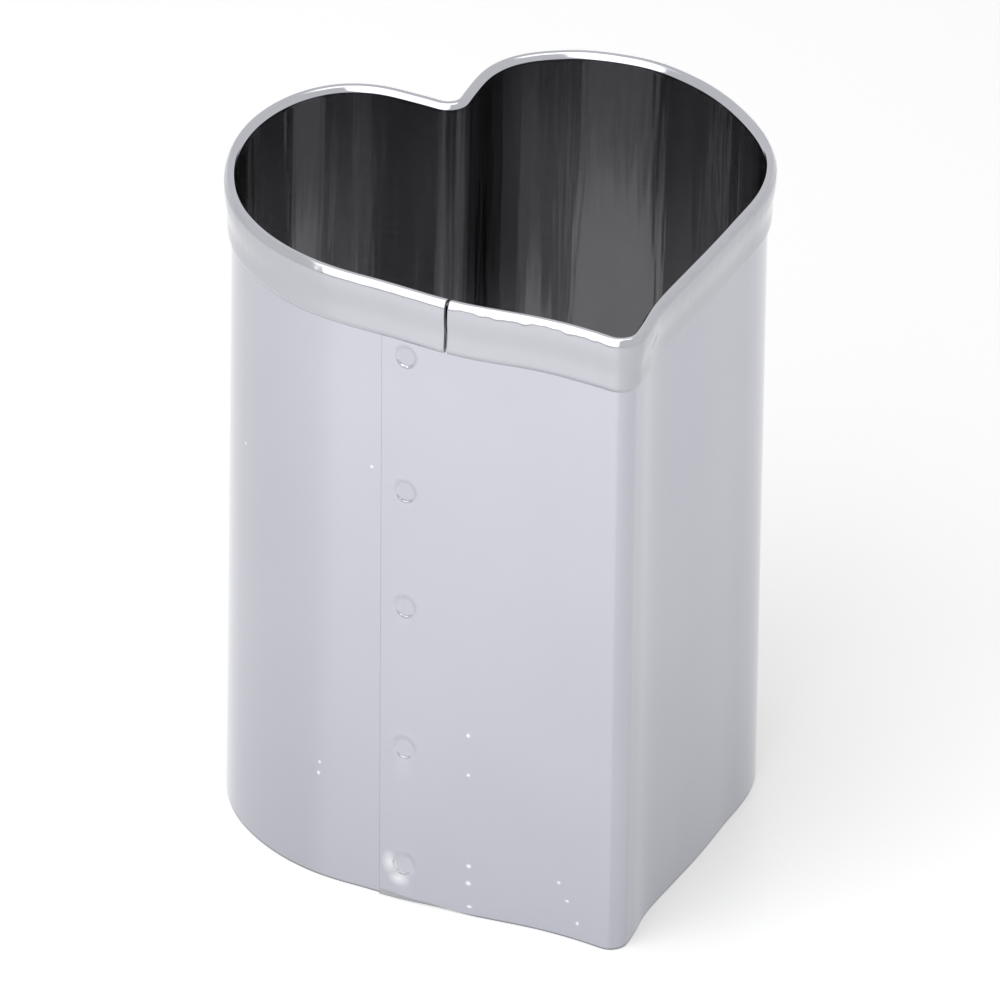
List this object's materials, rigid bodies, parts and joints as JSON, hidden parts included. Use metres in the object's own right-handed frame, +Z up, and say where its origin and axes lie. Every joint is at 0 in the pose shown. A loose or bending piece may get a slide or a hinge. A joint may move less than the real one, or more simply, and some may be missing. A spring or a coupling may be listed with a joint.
{
  "type": "cookie cutter",
  "caption": "Tall heart-shaped cutter of bent stainless sheet, open at both ends, with a spot-welded lap and a rolled rim.",
  "frame": {"origin": "middle of the bounding box of the base, on the plane of the cutting edge", "axes": "+Z up from the cutting edge to the rolled rim, -Y to the heart's tip, +Y to its notch"},
  "size_m": [0.0476, 0.05, 0.06],
  "materials": {
    "wall_steel": "bright rolled stainless sheet",
    "rim_steel": "bright rolled stainless sheet, folded",
    "weld_steel": "stainless, dished by the weld electrodes"
  },
  "bodies": {
    "root": {"heart_wall": "wall_steel", "rolled_rim": "rim_steel", "spot_weld_1": "weld_steel", "spot_weld_2": "weld_steel", "spot_weld_3": "weld_steel", "spot_weld_4": "weld_steel", "spot_weld_5": "weld_steel"}
  },
  "joints": []
}
